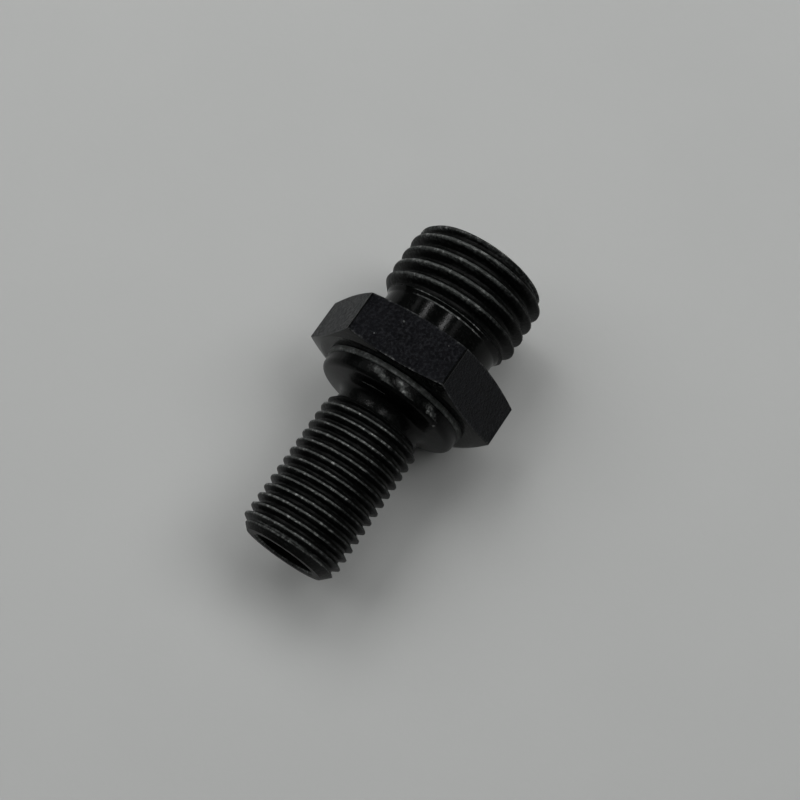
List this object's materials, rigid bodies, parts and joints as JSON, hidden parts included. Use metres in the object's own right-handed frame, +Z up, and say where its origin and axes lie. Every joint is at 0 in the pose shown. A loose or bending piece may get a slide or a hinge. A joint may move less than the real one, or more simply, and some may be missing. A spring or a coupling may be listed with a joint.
{
  "type": "straight union",
  "caption": "Straight hydraulic union turned from hexagon bar: coned tube end with nut thread, hexagon, collar and a longer, thinner stud end, bored through.",
  "frame": {"origin": "on the surface that it lies on, under the middle of its length; the axis runs 8.5 mm above", "axes": "+X along the axis towards the tube end, -X towards the stud end, +Z up through the upper flat of the hexagon"},
  "size_m": [0.0328, 0.0196, 0.017],
  "materials": {
    "body": "black oxide, slightly oiled, worn bright on edges and thread crests"
  },
  "bodies": {
    "root": {"union_body": "body"}
  },
  "joints": []
}
